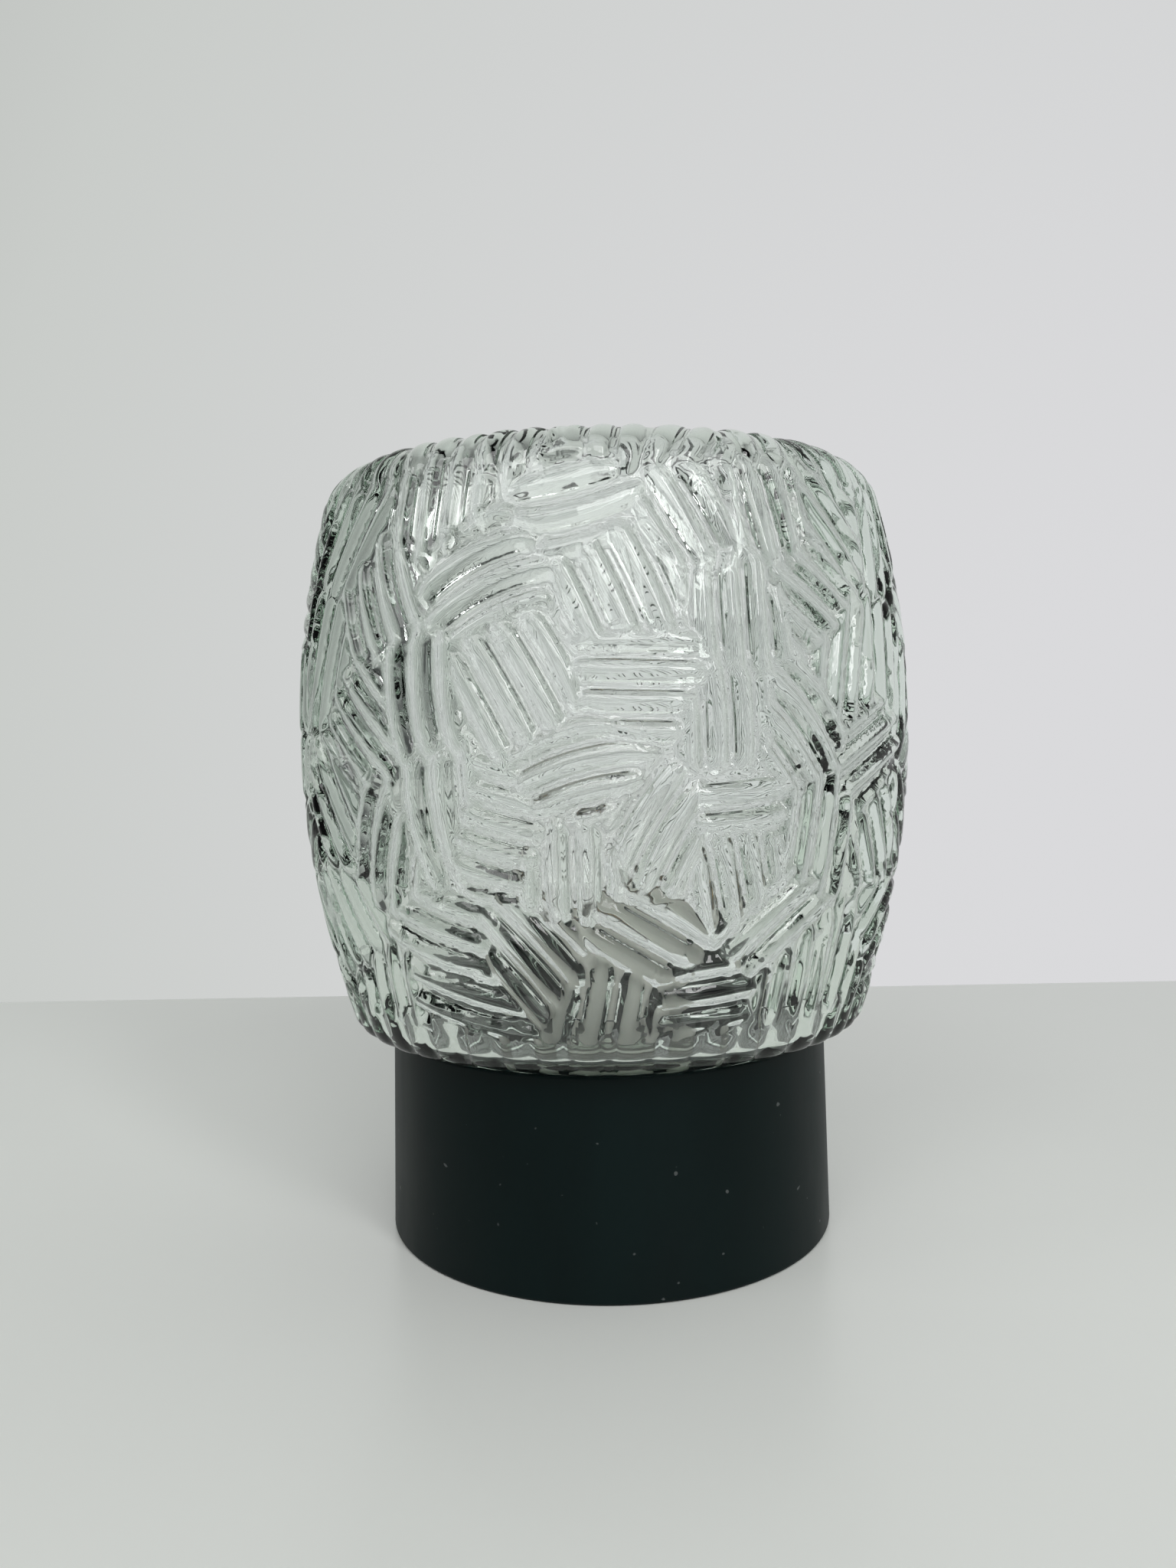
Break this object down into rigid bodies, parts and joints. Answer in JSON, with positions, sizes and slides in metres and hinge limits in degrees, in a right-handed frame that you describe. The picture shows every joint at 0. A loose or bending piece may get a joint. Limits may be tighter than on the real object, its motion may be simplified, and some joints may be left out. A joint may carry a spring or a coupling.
{
  "type": "wall light",
  "caption": "Small wall light: a clear barrel-shaped glass shade with a rib relief, screwed into a round black moulded base that holds a porcelain lampholder and a bulb.",
  "frame": {"origin": "centre of the base's wall face", "axes": "+Z out of the wall along the lamp axis, towards the closed crown of the shade; the part stands on its wall face as in the picture"},
  "size_m": [0.149, 0.149, 0.1835],
  "materials": {
    "black_moulding": "black phenolic moulding, satin, with light handling scuffs",
    "rubber": "black moulded rubber, matt",
    "zinc_steel": "zinc-plated steel, dull bright",
    "porcelain": "glazed white porcelain, slightly yellowed",
    "brass": "stamped brass, lightly tarnished",
    "cream_moulding": "cream moulded plastic",
    "brown_insulation": "brown extruded insulation",
    "blue_insulation": "blue extruded insulation",
    "shade_glass": "clear mould-blown glass with a relief of bundled ribs, fire-polished",
    "solder": "tin solder button",
    "black_glass": "black glass insulator, glossy",
    "cap_metal": "rolled thin sheet, bright",
    "bulb_glass": "clear blown glass",
    "tungsten": "grey tungsten coil"
  },
  "bodies": {
    "base": {"base_housing": "black_moulding", "cable_grommet": "rubber", "lampholder_bracket": "zinc_steel", "bracket_screws": "zinc_steel", "holder_body": "porcelain", "holder_screws": "zinc_steel", "screw_shell": "brass", "shell_strip": "brass", "contact_riser": "brass", "holder_terminals": "brass", "holder_terminal_screws": "zinc_steel", "terminal_block": "cream_moulding", "block_tubes": "brass", "block_clamp_screws": "zinc_steel", "block_screw": "zinc_steel", "live_lead": "brown_insulation", "neutral_lead": "blue_insulation"},
    "gasket": {"shade_gasket": "rubber"},
    "shade": {"glass_shade": "shade_glass"},
    "contact": {"centre_contact": "brass"},
    "bulb_foot": {"bulb_contact": "solder"},
    "bulb": {"bulb_insulator": "black_glass", "bulb_cap": "cap_metal", "bulb_glass": "bulb_glass", "bulb_stem": "bulb_glass", "lead_in_wires": "cap_metal", "filament": "tungsten"}
  },
  "joints": [
    {"name": "shade_lift", "type": "slide", "parent": "base", "child": "gasket", "axis": [0, 0, 1], "range_m": [0, 0.0141]},
    {"name": "shade_turn", "type": "hinge", "parent": "gasket", "child": "shade", "pos_m": [0, 0, 0.049], "axis": [0, 0, 1], "range_deg": [0, 720]},
    {"name": "contact_press", "type": "hinge", "parent": "base", "child": "contact", "pos_m": [-0.0087, 0, 0.0346], "axis": [0, 1, 0], "range_deg": [0, 8], "stiffness_Nm_per_rad": 0.02, "springref_deg": -8.59},
    {"name": "bulb_lift", "type": "slide", "parent": "base", "child": "bulb_foot", "axis": [0, 0, 1], "range_m": [0, 0.0228]},
    {"name": "bulb_turn", "type": "hinge", "parent": "bulb_foot", "child": "bulb", "pos_m": [0, 0, 0.06], "axis": [0, 0, 1], "range_deg": [0, 2250]}
  ],
  "couplings": [
    {"joint": "shade_lift", "follows": "shade_turn", "m_per_rad": 0.0011141},
    {"joint": "bulb_lift", "follows": "bulb_turn", "m_per_rad": 0.00057614}
  ]
}
